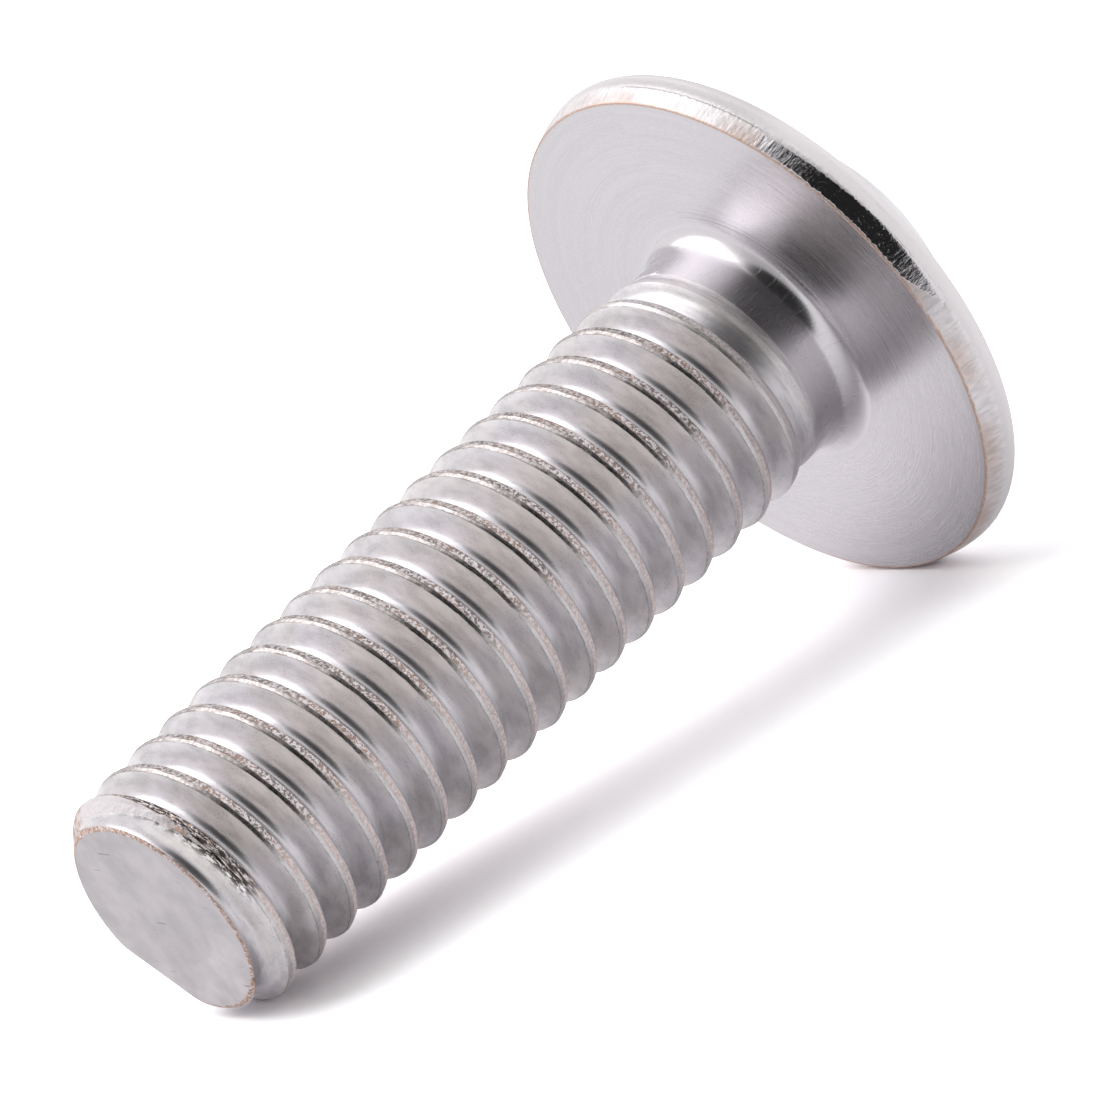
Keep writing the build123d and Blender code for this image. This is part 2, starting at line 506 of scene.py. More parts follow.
def tip_rings(skin, thread, ring, start_z):
    """The chamfered end of the thread, in rings square to the axis, and the dished end face."""
    shank = thread.shank
    edge = shank.tip_edge_round
    # The face's lip stands out a little past the chamfer, then turns in
    lip_out, lip_in = 0.3 * edge, 0.9 * edge
    stations = [TURN * i / STATIONS for i in range(STATIONS)]
    steps = 28

    def tip_radius(around, along):
        return thread.worn_radius(around, along, thread.rolled_radius(around, along))

    def is_cut(around, along):
        """Whether the chamfer reaches the thread's surface at a place."""
        return thread.rolled_radius(around, along) > thread.chamfer(around, along)

    for i in range(1, steps + 1):
        along = start_z + (shank.length - edge - start_z) * i / steps
        finishes = ["tip_edge" if is_cut(a, along) else "thread" for a in stations]
        ring = skin.grow(ring, lambda a: tip_radius(a, along), lambda a: along, finishes)
    face_r = {a: tip_radius(a, shank.length) for a in stations}
    for turn in (0.25, 0.5, 0.75, 1.0):
        swing = turn * math.pi / 2
        along = shank.length - edge * (1 - math.sin(swing))
        inset = (lip_out + lip_in) * (1 - math.cos(swing))
        lip_r = {a: face_r[a] + lip_out - inset for a in stations}
        ring = skin.grow(ring, lip_r.get, lambda a: along, "face_edge")
    for share_left in (0.97, 0.9, 0.8, 0.65, 0.5, 0.35, 0.2, 0.08):
        along = shank.length - shank.tip_dish * (1 - share_left**2) ** 2
        inner_r = {a: (face_r[a] - lip_in) * share_left for a in stations}
        ring = skin.grow(ring, inner_r.get, lambda a: along, "end_face")
    skin.close(ring, shank.length - shank.tip_dish, "end_face", outward=True)


# ---------------------------------------------------------------- head


def hexagon_radius(flat_r, turn):
    """The radius of a hexagon's wall round the axis."""

    def radius_at(around):
        off_corner = (around - turn) % (TURN / 6)
        return flat_r / math.cos(off_corner - TURN / 12)

    return radius_at


def socket_and_top(skin, head):
    """The hexagon socket from its drill point to its chamfered mouth; gives the mouth too."""
    flat_r = head.socket_width / 2
    corner_r = flat_r / math.cos(TURN / 12)
    mouth_r = corner_r + head.socket_mouth_chamfer
    top_z = -head.head_height
    floor_z = top_z + head.socket_depth
    hexagon = hexagon_radius(flat_r, head.socket_turn)
    point_z = floor_z + flat_r / math.tan(head.socket_point_angle)
    # The drill point is slightly blunt
    ring = skin.circle(flat_r * 0.04, point_z - 0.004 * MM)
    skin.close(ring, point_z, "socket", outward=False)
    point = [(flat_r * p, point_z + (floor_z - point_z) * p) for p in (0.3, 0.6, 0.85, 0.97)]
    ring = skin.run(ring, [*point, (flat_r * 0.995, floor_z)], "socket")
    ring = skin.grow(ring, hexagon, lambda a: floor_z, "socket")

    def mouth_z(around):
        """Where the hexagon's wall meets the mouth's chamfer."""
        return top_z + (mouth_r - hexagon(around))

    for part in (0.02, 0.35, 0.7, 0.97, 1.0):
        ring = skin.grow(ring, hexagon, lambda a: floor_z + (mouth_z(a) - floor_z) * part, "socket")
    for part in (0.08, 0.5, 0.92, 1.0):
        ring = skin.grow(
            ring,
            lambda a: hexagon(a) + (mouth_r - hexagon(a)) * part,
            lambda a: mouth_z(a) + (top_z - mouth_z(a)) * part,
            "socket",
        )
    return ring, (mouth_r, top_z)


def dome_arc(head):
    """The dome's sphere: its centre along the axis and its radius."""
    foot_r, top_r = head.dome_diameter / 2, head.head_top_diameter / 2
    foot_z, top_z = -head.flange_thickness - head.flange_rise, -head.head_height
    centre_z = (foot_r**2 - top_r**2 + foot_z**2 - top_z**2) / (2 * (foot_z - top_z))
    return centre_z, math.hypot(foot_r, foot_z - centre_z)


def dome_outline(head, mouth):
    """From the socket's mouth over the dome to the start of the flange's edge round."""
    centre_z, sphere_r = dome_arc(head)
    top_r, top_z = head.head_top_diameter / 2, -head.head_height
    foot_r, foot_z = head.dome_diameter / 2, -head.flange_thickness - head.flange_rise
    start = math.atan2(top_z - centre_z, top_r)
    end = math.atan2(foot_z - centre_z, foot_r)
    dome = arc((0.0, centre_z), sphere_r, start, end, 26)
    flange_start = (head.flange_diameter / 2 - head.flange_edge_round, -head.flange_thickness)
    top_edge = rounded(mouth, (top_r, top_z), dome[3], head.head_top_round, 5)
    foot = rounded(dome[-4], (foot_r, foot_z), flange_start, head.dome_foot_round, 8)
    flat = straight(mouth, top_edge[0], 6)
    flange = straight(foot[-1], flange_start, 8)
    over_dome = [p for p in dome if top_edge[-1][0] < p[0] < foot[0][0]]
    return [*flat, *top_edge[1:], *over_dome, *foot, *flange]


def rim_outline(head):
    """Round the flange's upper edge to its shoulder, then down the band to the bearing face."""
    bearing_r = head.bearing_diameter / 2
    radius = head.flange_edge_round
    centre = (head.flange_diameter / 2 - radius, radius - head.flange_thickness)
    ridge = (head.band_radius, -head.band_height)
    edge = arc(centre, radius, -math.pi / 2, math.radians(11), 14)
    shoulder = straight(edge[-1], ridge, 4)
    band = straight(ridge, (bearing_r, 0.0), 6)
    lower = rounded(ridge, (bearing_r, 0.0), (0.0, 0.0), head.bearing_edge_round, 5)
    return [*edge[1:], *shoulder], [*band[:-1], *lower]


def under_head_outline(head, shank, neck_r):
    """From the bearing face's edge through the fillet to the neck."""
    fillet = shank.head_fillet
    # The face starts a little inside the round of its edge
    edge_r = head.bearing_diameter / 2 - head.bearing_edge_round * 1.5
    face = straight((edge_r, 0.0), (neck_r + fillet, 0.0), 14)
    corner = arc((neck_r + fillet, fillet), fillet, -math.pi / 2, -math.pi, 12)
    return face, corner[1:]


def build_screw_surface(thread_sizes, shank, head):
    """The whole surface, from the socket's drill point to the end face."""
    skin = Skin()
    thread = Thread(thread_sizes, shank)
    ring, mouth = socket_and_top(skin, head)
    ring = skin.run(ring, dome_outline(head, mouth), "dome")
    edge, band = rim_outline(head)
    ring = skin.run(ring, edge, "rim")
    ring = skin.run(ring, band, "rim")
    face, fillet = under_head_outline(head, shank, thread.neck_r)
    ring = skin.run(ring, face, "bearing")
    ring = skin.run(ring, fillet, "neck")
    # The rows of the thread start just before it rises, and end just before the chamfer
    neck_end = shank.neck_length - 0.1 * MM
    neck = straight((thread.neck_r, shank.head_fillet), (thread.neck_r, neck_end), 5)
    ring = skin.run(ring, neck, "neck")
    chamfer_start = shank.length - shank.tip_chamfer - 0.14 * MM
    ring = thread_rows(skin, thread, ring, neck_end, chamfer_start)
    tip_rings(skin, thread, ring, chamfer_start)
    return skin


# ---------------------------------------------------------------- shader helpers


class Nodes:
    """Short ways to add and link nodes in one tree."""

    def __init__(self, tree):
        self.tree = tree

    def add(self, kind, **inputs):
        node = self.tree.nodes.new(kind)
        for name, value in inputs.items():
            self.feed(node.inputs[name.replace("_", " ")], value)
        return node

    def feed(self, socket, value):
        """Links a socket to another, or gives it a fixed value."""
        if isinstance(value, bpy.types.NodeSocket):
            self.tree.links.new(value, socket)
        else:
            socket.default_value = value

    def math(self, operation, a, b=0.0, clamp=False):
        node = self.tree.nodes.new("ShaderNodeMath")
        node.operation = operation
        node.use_clamp = clamp
        self.feed(node.inputs[0], a)
        self.feed(node.inputs[1], b)
        return node.outputs[0]

    def plus(self, a, b):
        return self.math("ADD", a, b)

    def minus(self, a, b):
        return self.math("SUBTRACT", a, b)

    def times(self, product, *factors):
        for factor in factors:
            product = self.math("MULTIPLY", product, factor)
        return product

    def vectors(self, operation, a, b=(0.0, 0.0, 0.0)):
        """The node for a product of two vectors, or the like."""
        node = self.tree.nodes.new("ShaderNodeVectorMath")
        node.operation = operation
        self.feed(node.inputs[0], a)
        self.feed(node.inputs[1], b)
        return node

    def scaled(self, vector, factor):
        """A vector or a colour, scaled."""
        node = self.vectors("SCALE", vector)
        self.feed(node.inputs["Scale"], factor)
        return node.outputs[0]

    def ramp(self, value, low, high, to_low=0.0, to_high=1.0):
        """A smooth step from one value to another."""
        node = self.tree.nodes.new("ShaderNodeMapRange")
        node.interpolation_type = "SMOOTHSTEP"
        for i, setting in enumerate((value, low, high, to_low, to_high)):
            self.feed(node.inputs[i], setting)
        return node.outputs[0]

    def band(self, value, low, high, soft):
        """One between two values, with soft ends."""
        above = self.ramp(value, low - soft, low + soft)
        below = self.ramp(value, high - soft, high + soft, 1.0, 0.0)
        return self.times(above, below)

    def past(self, value, edge, soft):
        """One where a value is past an edge that varies, with a soft step."""
        return self.ramp(self.minus(value, edge), -soft, soft)

    def mix(self, share_of_b, a, b):
        """A colour between two colours."""
        node = self.tree.nodes.new("ShaderNodeMix")
        node.data_type = "RGBA"
        self.feed(node.inputs["Factor"], share_of_b)
        for i, tint in ((6, a), (7, b)):
            linked = isinstance(tint, bpy.types.NodeSocket)
            self.feed(node.inputs[i], tint if linked else (*tint, 1.0))
        return node.outputs[2]

    def blend(self, share_of_b, a, b):
        """A value between two values."""
        node = self.tree.nodes.new("ShaderNodeMix")
        node.data_type = "FLOAT"
        for i, setting in ((0, share_of_b), (2, a), (3, b)):
            self.feed(node.inputs[i], setting)
        return node.outputs[0]

    def noise(self, vector, scale, detail=2.0, roughness=0.5):
        inputs = {"Vector": vector, "Scale": scale, "Detail": detail, "Roughness": roughness}
        return self.add("ShaderNodeTexNoise", **inputs).outputs[0]

    def combine(self, x, y, z):
        return self.add("ShaderNodeCombineXYZ", X=x, Y=y, Z=z).outputs[0]


class SteelNodes(Nodes):
    """A steel's nodes, with the place on the screw and the node groups that it uses there."""

    def __init__(self, tree, groups):
        super().__init__(tree)
        self.groups = groups
        self.laid = self.add("ShaderNodeTexCoord").outputs["Object"]
        # The screw's own frame, with +z to the tip
        stood_up = self.add("ShaderNodeVectorRotate", Vector=self.laid, Angle=-LAID_DOWN.angle)
        stood_up.rotation_type = "Y_AXIS"
        self.place = stood_up.outputs[0]

    def group(self, name, **inputs):
        """Places a node group; gives its outputs."""
        node = self.tree.nodes.new("ShaderNodeGroup")
        node.node_tree = self.groups[name]
        for label, value in {"Vector": self.place, **inputs}.items():
            self.feed(node.inputs[label], value)
        return node.outputs


def new_group(name, inputs, outputs):
    """An empty node group; gives the group, its nodes, what it takes in and what it puts out."""
    group = bpy.data.node_groups.new(name, "ShaderNodeTree")
    for direction, sockets in (("INPUT", inputs), ("OUTPUT", outputs)):
        for label, (kind, default) in sockets.items():
            socket = group.interface.new_socket(label, in_out=direction, socket_type=kind)
            if default is not None:
                socket.default_value = default
    nodes = Nodes(group)
    entry = group.nodes.new("NodeGroupInput")
    leave = group.nodes.new("NodeGroupOutput")
    return group, nodes, entry.outputs, leave.inputs


def polar(nodes, vector):
    """A place's x, y, z and distance from the axis, in millimetres, and its angle round the axis."""
    split = nodes.add("ShaderNodeSeparateXYZ", Vector=vector)
    x, y, z = (nodes.math("DIVIDE", split.outputs[i], MM) for i in range(3))
    squares = nodes.plus(nodes.times(x, x), nodes.times(y, y))
    return x, y, z, nodes.math("POWER", squares, 0.5), nodes.math("ARCTAN2", y, x)


FLOAT = "NodeSocketFloat"
VECTOR = "NodeSocketVector"


def place_group(thread):
    """Where a point lies on the screw: radius, angle, place along, and off the nearest crest."""
    inputs = {
        "Vector": (VECTOR, None),
        "Start": (FLOAT, thread.start / MM),
        "Pitch": (FLOAT, thread.pitch / MM),
    }
    outputs = {
        "Radius": (FLOAT, None),
        "Around": (FLOAT, None),
        "Along": (FLOAT, None),
        "Off crest": (FLOAT, None),
        "Rolled": (VECTOR, None),
    }
    group, nodes, entry, leave = new_group("Place on the screw", inputs, outputs)
    x, y, z, radius, around = polar(nodes, entry["Vector"])
    turns = nodes.math("DIVIDE", nodes.minus(z, entry["Start"]), entry["Pitch"])
    turns = nodes.minus(turns, nodes.math("DIVIDE", around, TURN))
    off = nodes.times(nodes.minus(turns, nodes.math("ROUND", turns)), entry["Pitch"])
    nodes.feed(leave["Radius"], radius)
    nodes.feed(leave["Around"], around)
    nodes.feed(leave["Along"], z)
    nodes.feed(leave["Off crest"], off)
    nodes.feed(leave["Rolled"], nodes.combine(x, y, nodes.plus(nodes.times(off, 5.0), z)))
    return group


def turned_group():
    """Fine rings left by turning, with short streaks: a height for bump and a tone for colour."""
    inputs = {"Vector": (VECTOR, None), "Spacing": (FLOAT, 0.03), "Stretch": (FLOAT, 0.45)}
    outputs = {"Height": (FLOAT, None), "Tone": (FLOAT, None)}
    group, nodes, entry, leave = new_group("Turned rings", inputs, outputs)
    _, _, z, radius, around = polar(nodes, entry["Vector"])
    across = nodes.math("DIVIDE", nodes.plus(radius, z), entry["Spacing"])
    lengthwise = nodes.times(around, entry["Stretch"])
    rings = nodes.noise(nodes.combine(across, lengthwise, 0.0), 1.0, detail=3.0, roughness=0.6)
    short = nodes.times(lengthwise, 9.0)
    streaks = nodes.noise(nodes.combine(across, short, 5.0), 0.8)
    broad = nodes.noise(nodes.combine(nodes.times(across, 0.12), lengthwise, 3.0), 1.0)
    fine = nodes.blend(0.3, rings, streaks)
    nodes.feed(leave["Height"], fine)
    nodes.feed(leave["Tone"], nodes.blend(0.35, fine, broad))
    return group


def grain_group():
    """Fine pits and specks: a height, a mask of specks, and broad soft clouds."""
    inputs = {"Vector": (VECTOR, None), "Grain": (FLOAT, 12.0)}
    outputs = {"Height": (FLOAT, None), "Specks": (FLOAT, None), "Cloud": (FLOAT, None)}
    group, nodes, entry, leave = new_group("Steel grain", inputs, outputs)
    scaled = nodes.scaled(entry["Vector"], nodes.math("DIVIDE", entry["Grain"], MM))
    nodes.feed(leave["Height"], nodes.noise(scaled, 1.0, detail=3.0, roughness=0.65))
    nodes.feed(leave["Specks"], nodes.ramp(nodes.noise(scaled, 2.3, detail=1.0), 0.58, 0.68))
    nodes.feed(leave["Cloud"], nodes.noise(scaled, 0.06, detail=4.0, roughness=0.55))
    return group


def emptied(owner):
    """The tree of a material or of the surroundings, without the nodes that it starts with."""
    owner.use_nodes = True
    owner.node_tree.nodes.clear()
    return owner.node_tree


def steel_material(name, scene, groups, paint, anisotropy):
    """A steel whose colour, roughness and bump come from a paint function."""
    material = bpy.data.materials.new(name)
    nodes = SteelNodes(emptied(material), groups)
    tint, roughness, height, depth = paint(nodes, scene)
    bump = nodes.add("ShaderNodeBump", Height=height, Distance=depth * MM, Strength=1.0)
    steel = nodes.add(
        "ShaderNodeBsdfPrincipled",
        Base_Color=tint,
        Metallic=1.0,
        Roughness=roughness,
        Normal=bump.outputs[0],
    )
    if anisotropy:
        nodes.feed(steel.inputs["Anisotropic"], anisotropy)
        nodes.feed(steel.inputs["Anisotropic Rotation"], 0.25)
        along_rings = nodes.vectors("CROSS_PRODUCT", AXIS, nodes.laid)
        nodes.feed(steel.inputs["Tangent"], along_rings.outputs[0])
    nodes.add("ShaderNodeOutputMaterial", Surface=steel.outputs[0])
    return material


# ---------------------------------------------------------------- finishes

# Each paint function gives a colour, a roughness, a height for bump and the bump's depth in
# millimetres. Lengths in them are in millimetres, and angles are in radians round the axis
# from the side that faces the floor.


def paint_turned(nodes, scene):
    """Bearing face, with fine rings, two lines round the fillet and a coppery outer edge."""
    finish = scene.screw_finish
    rings = nodes.group("turned", Spacing=0.035)
    grain = nodes.group("grain")
    where = nodes.group("place")
    tint = nodes.scaled(finish.bearing, nodes.ramp(rings["Tone"], 0.3, 0.7, 0.94, 1.03))
    radius = where["Radius"]
    inner_line = nodes.band(radius, 3.30, 3.325, 0.008)
    outer_line = nodes.band(radius, 3.43, 3.445, 0.008)
    uneven = nodes.ramp(rings["Height"], 0.35, 0.6, 0.1, 0.5)
    one_side = nodes.band(where["Around"], 1.7, 3.0, 0.4)
    lines = nodes.times(nodes.math("MAXIMUM", inner_line, outer_line), uneven, one_side)
    tint = nodes.mix(lines, tint, finish.dark)
    edge = scene.screw_head.bearing_diameter / 2 / MM
    speckled = nodes.ramp(radius, edge - 0.07, edge - 0.04, 0.0, 0.75)
    speckled = nodes.times(speckled, nodes.ramp(grain["Height"], 0.35, 0.6))
    tint = nodes.mix(speckled, tint, finish.copper)
    low, high = finish.turned_roughness - 0.03, finish.turned_roughness + 0.04
    roughness = nodes.ramp(rings["Tone"], 0.3, 0.7, low, high)
    return tint, roughness, rings["Height"], 0.005


def paint_neck(nodes, scene):
    """Neck and fillet, burnished, with a few fine rings and scratches."""
    finish, shank = scene.screw_finish, scene.screw_shank
    rings = nodes.group("turned", Spacing=0.05, Stretch=0.35)
    grain = nodes.group("grain", Grain=8.0)
    where = nodes.group("place")
    around, along = where["Around"], where["Along"]
    lengthwise = nodes.combine(nodes.times(around, 60.0), nodes.times(along, 1.6), 0.0)
    scratches = nodes.ramp(nodes.noise(lengthwise, 1.0), 0.58, 0.74)
    tint = nodes.scaled(finish.steel, nodes.ramp(rings["Tone"], 0.3, 0.7, 0.95, 1.02))
    fillet_end, neck_end = shank.head_fillet / MM + 0.03, shank.neck_length / MM
    smooth, duller = finish.neck_roughness, finish.neck_roughness + 0.05
    roughness = nodes.ramp(along, fillet_end, neck_end, smooth, duller)
    roughness = nodes.plus(roughness, nodes.ramp(grain["Cloud"], 0.35, 0.65, 0.0, 0.06))
    roughness = nodes.plus(roughness, nodes.times(scratches, 0.10))
    height = nodes.plus(rings["Height"], nodes.times(scratches, 0.12))
    return tint, roughness, height, 0.003


def paint_thread(nodes, scene):
    """Satin rolled flanks, burnished roots, and crests that are rough but for their folded lip."""
    finish, thread, shank = scene.screw_finish, scene.screw_thread, scene.screw_shank
    where = nodes.group("place")
    grain = nodes.group("grain", Grain=13.0)
    along, signed, rolled = where["Along"], where["Off crest"], where["Rolled"]
    neck_end = shank.neck_length / MM
    grown = nodes.ramp(along, neck_end + 0.15, neck_end + 2.05)
    along_helix = nodes.noise(rolled, 3.2, detail=3.0, roughness=0.6)
    mottle = nodes.noise(rolled, 1.4, detail=5.0, roughness=0.6)
    ragged = nodes.plus(signed, nodes.times(nodes.minus(along_helix, 0.5), 0.06))

    # The crest's two halves. Towards the floor its rough half is narrower.
    side = nodes.math("ABSOLUTE", where["Around"])
    towards_floor = nodes.ramp(side, 1.6, 1.9, 1.0, 0.0)
    rough_width, lip_end = thread.rough_width / MM, thread.lip_width / MM + 0.008
    rough_edge = nodes.blend(towards_floor, -rough_width, 0.04 - rough_width)
    in_from_edge = nodes.past(ragged, rough_edge, 0.012)
    rough_side = nodes.times(in_from_edge, grown, nodes.ramp(ragged, -0.007, 0.017, 1.0, 0.0))
    lip = nodes.band(signed, 0.0, lip_end, 0.006)
    lip = nodes.times(lip, grown, nodes.blend(towards_floor, 1.0, 0.25))
    root = nodes.ramp(nodes.math("ABSOLUTE", signed), 0.28, 0.38)

    # The flanks and roots, with warmer patches here and there, and warmer and paler on one side
    # round the axis: a painted sheen there
    sheened = nodes.band(side, 1.75, 2.6, 0.25)
    tone = nodes.ramp(mottle, 0.35, 0.65, 0.86, 1.05)
    tone = nodes.times(tone, nodes.blend(sheened, 1.0, 1.13))
    warmth = nodes.ramp(grain["Cloud"], 0.42, 0.62, 0.0, 0.5)
    warmth = nodes.math("MAXIMUM", warmth, nodes.times(sheened, 0.8))
    flank = nodes.mix(warmth, finish.flank, finish.warm)
    tint = nodes.scaled(nodes.mix(root, flank, finish.steel), tone)
    pits = nodes.times(grain["Specks"], nodes.ramp(mottle, 0.35, 0.6, 0.25, 0.03))
    tint = nodes.mix(pits, tint, finish.dark)

    # The crest's colours: specks of pale steel on darker worn steel, partly grain and partly painted
    # glints
    speckle = nodes.ramp(grain["Height"], 0.42, 0.57)
    # The crests' colour is scaled by the side round the axis: paler on the floor side and round the
    # flanks, darker on top, as painted light and shade.
    crest_light_and_shade = nodes.ramp(side, 2.2, 2.95, 1.12, 0.80)
    patches = nodes.ramp(nodes.noise(rolled, 0.9, detail=1.0), 0.38, 0.62, 0.05, 0.65)
    coppery = nodes.mix(patches, finish.worn, finish.copper)
    crest = nodes.mix(speckle, coppery, finish.crest)
    # Towards the floor the crests mostly take the calm satin colour in place of their painted glints
    crest = nodes.mix(nodes.times(towards_floor, 0.68), crest, finish.satin)
    tint = nodes.mix(rough_side, tint, nodes.scaled(crest, crest_light_and_shade))
    # The lip takes half of the same specks, so partly painted glints too
    speckled_lip = nodes.mix(nodes.times(speckle, 0.5), finish.lip, finish.crest)
    tint = nodes.mix(lip, tint, nodes.scaled(speckled_lip, crest_light_and_shade))

    # The dark lines along both edges of the crest, where it folds into the flanks: partly marks of
    # rolling, partly painted shade in these folds
    fold = nodes.times(nodes.band(ragged, lip_end - 0.010, lip_end + 0.004, 0.006), 0.55)
    line = nodes.band(ragged, -rough_width - 0.008, -rough_width + 0.014, 0.008)
    either = nodes.math("MAXIMUM", fold, nodes.times(line, 0.8))
    marks = nodes.times(either, grown, nodes.ramp(along_helix, 0.36, 0.50, 0.15, 0.75))
    tint = nodes.mix(marks, tint, finish.dark)

    # The seam that opened on the last crest, with painted shade in its gaps
    last_crest = shank.length / MM - 0.98
    torn = nodes.band(where["Around"], shank.torn_from + 0.02, shank.torn_to, 0.12)
    at_end = nodes.ramp(along, last_crest, last_crest + 0.10)
    torn = nodes.times(torn, at_end, nodes.band(ragged, -0.24, 0.18, 0.05))
    gnarled = nodes.noise(rolled, 4.2, detail=3.0, roughness=0.65)
    seam_shade = nodes.times(torn, nodes.ramp(gnarled, 0.47, 0.58, 0.97, 0.0))
    tint = nodes.mix(seam_shade, tint, finish.dark)

    low, high = finish.rolled_roughness - 0.05, finish.rolled_roughness + 0.04
    roughness = nodes.ramp(mottle, 0.35, 0.65, low, high)
    roughness = nodes.blend(root, roughness, finish.root_roughness)
    run_out = nodes.ramp(along, neck_end - 0.05, neck_end + 1.65, 1.0, 0.0)
    roughness = nodes.blend(run_out, roughness, finish.rolled_roughness - 0.1)
    roughness = nodes.blend(rough_side, roughness, finish.crest_roughness)
    roughness = nodes.blend(lip, roughness, finish.lip_roughness)
    roughness = nodes.blend(torn, roughness, finish.torn_roughness)
    deep = nodes.times(rough_side, nodes.blend(towards_floor, 1.0, 0.6))
    height = nodes.times(grain["Height"], nodes.blend(deep, 0.04, 1.0))
    return tint, roughness, height, 0.05


def paint_tip_edge(nodes, scene):
    """Rough cut of the tip's chamfer."""
    finish = scene.screw_finish
    grain = nodes.group("grain", Grain=7.0)
    patches = nodes.ramp(grain["Cloud"], 0.45, 0.60)
    coppery = nodes.mix(patches, finish.crest, finish.copper)
    speck = nodes.ramp(grain["Height"], 0.42, 0.60)
    tint = nodes.scaled(nodes.mix(speck, coppery, finish.crest), 0.88)
    return tint, finish.crest_roughness, grain["Height"], 0.035


def paint_face_edge(nodes, scene):
    """Lip of the end face, coppery in places."""
    finish = scene.screw_finish
    grain = nodes.group("grain", Grain=16.0)
    speck = nodes.ramp(grain["Height"], 0.44, 0.66)
    tint = nodes.mix(speck, finish.copper, finish.crest)
    nicks = nodes.ramp(grain["Height"], 0.36, 0.42, 0.5, 0.0)
    tint = nodes.mix(nicks, tint, finish.dark)
    return tint, finish.crest_roughness, grain["Height"], 0.03


def paint_end(nodes, scene):
    """Cut end face, dull and mottled, with a paler crescent as a painted highlight and short dark
    scratches.
    """
    finish = scene.screw_finish
    grain = nodes.group("grain", Grain=6.0)
    where = nodes.group("place")
    in_mm = nodes.scaled(nodes.place, 1 / MM)
    mottle = nodes.noise(in_mm, 1.1, detail=5.0, roughness=0.6)
    # The paler crescent is a painted highlight
    crescent = nodes.band(where["Around"], -0.2, 1.2, 0.25)
    crescent = nodes.times(crescent, nodes.ramp(where["Radius"], 1.2, 1.4))
    tone = nodes.ramp(mottle, 0.3, 0.7, 0.86, 1.06)
    tone = nodes.times(tone, nodes.blend(crescent, 0.97, 1.09))
    tint = nodes.scaled(finish.end, tone)
    stretched = nodes.vectors("MULTIPLY", in_mm, (7.0, 0.9, 0.0)).outputs[0]
    scratches = nodes.ramp(nodes.noise(stretched, 1.0), 0.68, 0.74, 0.0, 0.45)
    tint = nodes.mix(scratches, tint, finish.dark)
    return tint, finish.end_roughness, grain["Height"], 0.010


def paint_rim(nodes, scene):
    """Flange's edge: pale and streaked by shearing, with one burnished patch and a coppery edge."""
    finish = scene.screw_finish
    grain = nodes.group("grain", Grain=7.0)
    where = nodes.group("place")
    behind = nodes.math("LESS_THAN", where["Around"], 0.0)
    around = nodes.plus(where["Around"], nodes.times(behind, TURN))
    along = where["Along"]
    lengthwise = nodes.combine(nodes.times(around, 55.0), nodes.times(along, 2.5), 0.0)
    streaks = nodes.noise(lengthwise, 1.0, detail=4.0, roughness=0.65)
    torn = nodes.minus(streaks, 0.5)

    # The burnished patch, between ragged ends and edges
    patch_start, patch_end = 1.62, 2.46
    turned = nodes.plus(around, nodes.times(torn, 0.26))
    level = nodes.plus(along, nodes.times(torn, 0.16))
    low_edge = nodes.ramp(around, patch_start + 0.02, patch_end, -0.53, -0.37)
    high_edge = nodes.ramp(around, patch_start, patch_start + 0.20, -0.40, -0.045)
    pits = nodes.times(grain["Specks"], nodes.ramp(grain["Cloud"], 0.50, 0.62, 0.0, 0.3))
    burnished = nodes.times(
        nodes.band(turned, patch_start, patch_end, 0.02),
        nodes.past(level, low_edge, 0.012),
        nodes.past(high_edge, level, 0.012),
        nodes.minus(1.0, pits),
    )

    # The sheared band, duller on one side, with its stains
    sheared = nodes.ramp(along, -0.62, -0.40)
    tone = nodes.blend(sheared, 1.0, nodes.ramp(streaks, 0.35, 0.65, 0.84, 1.04))
    dull_start, dull_end = nodes.ramp(around, 2.36, 2.62), nodes.ramp(around, 5.2, 6.2, 1.0, 0.0)
    dull = nodes.math("MINIMUM", dull_start, dull_end)
    tone = nodes.times(tone, nodes.blend(dull, 1.0, 0.84))
    stain = nodes.ramp(grain["Cloud"], 0.40, 0.62, 0.0, 0.5)
    stain = nodes.times(stain, nodes.ramp(along, -0.5, -0.1))
    tint = nodes.scaled(nodes.mix(stain, finish.shoulder, finish.copper), tone)
    edge = nodes.ramp(grain["Height"], 0.36, 0.52, 0.3, 0.9)
    edge = nodes.times(nodes.ramp(level, -0.045, -0.02), edge)
    tint = nodes.mix(edge, tint, finish.copper)
    past_patch = nodes.band(around, patch_end + 0.02, 3.12, 0.05)
    ridge = nodes.times(nodes.band(level, -0.43, -0.40, 0.012), past_patch, 0.5)
    tint = nodes.mix(ridge, tint, finish.dark)
    tint = nodes.mix(burnished, tint, finish.bearing)

    roughness = nodes.blend(burnished, finish.shoulder_roughness, finish.band_roughness)
    height = nodes.times(grain["Height"], nodes.blend(burnished, 0.8, 0.2))
    height = nodes.plus(height, nodes.times(streaks, sheared))
    height = nodes.plus(height, nodes.ramp(along, -0.72, -0.46, 0.0, 4.0))
    return tint, roughness, height, 0.016


def paint_dome(nodes, scene):
    """Pressed dome and socket, satin."""
    finish = scene.screw_finish
    grain = nodes.group("grain", Grain=6.0)
    tone = nodes.ramp(grain["Cloud"], 0.3, 0.7)
    tint = nodes.mix(tone, finish.flank, finish.steel)
    low, high = finish.dome_roughness, finish.dome_roughness + 0.08
    roughness = nodes.ramp(grain["Cloud"], 0.3, 0.7, low, high)
    return tint, roughness, grain["Height"], 0.004


FINISHES = {
    "thread": (paint_thread, 0.0),
    "tip_edge": (paint_tip_edge, 0.0),
    "face_edge": (paint_face_edge, 0.0),
    "end_face": (paint_end, 0.0),
    "bearing": (paint_turned, 0.8),
    "neck": (paint_neck, 0.0),
    "rim": (paint_rim, 0.0),
    "dome": (paint_dome, 0.0),
    "socket": (paint_dome, 0.0),
}


# ---------------------------------------------------------------- operators

# Edges that turn more than this stay sharp in the shading
SHARP_EDGE = math.radians(38)


